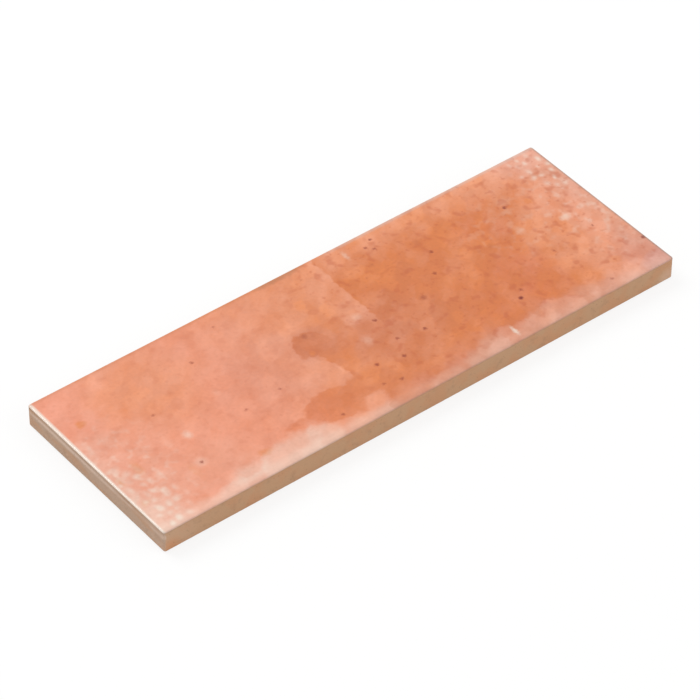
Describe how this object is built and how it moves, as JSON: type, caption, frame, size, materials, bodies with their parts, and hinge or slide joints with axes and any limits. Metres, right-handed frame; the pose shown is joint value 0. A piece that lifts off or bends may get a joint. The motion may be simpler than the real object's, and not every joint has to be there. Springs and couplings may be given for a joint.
{
  "type": "ceramic tile",
  "caption": "Oblong glazed ceramic wall tile with a mottled terracotta face, a soft glazed rim, bare clay sides and a shallow keyed back.",
  "frame": {"origin": "middle of the back, on the surface that the tile lies on", "axes": "+X along the length, +Y across the width, +Z out of the glazed face"},
  "size_m": [0.2, 0.07, 0.0084],
  "materials": {
    "glazed_tile": "glossy mottled peach and terracotta glaze on the face and its rim, over a bare matte fired clay body on the sides and back"
  },
  "bodies": {
    "root": {"tile": "glazed_tile"}
  },
  "joints": []
}
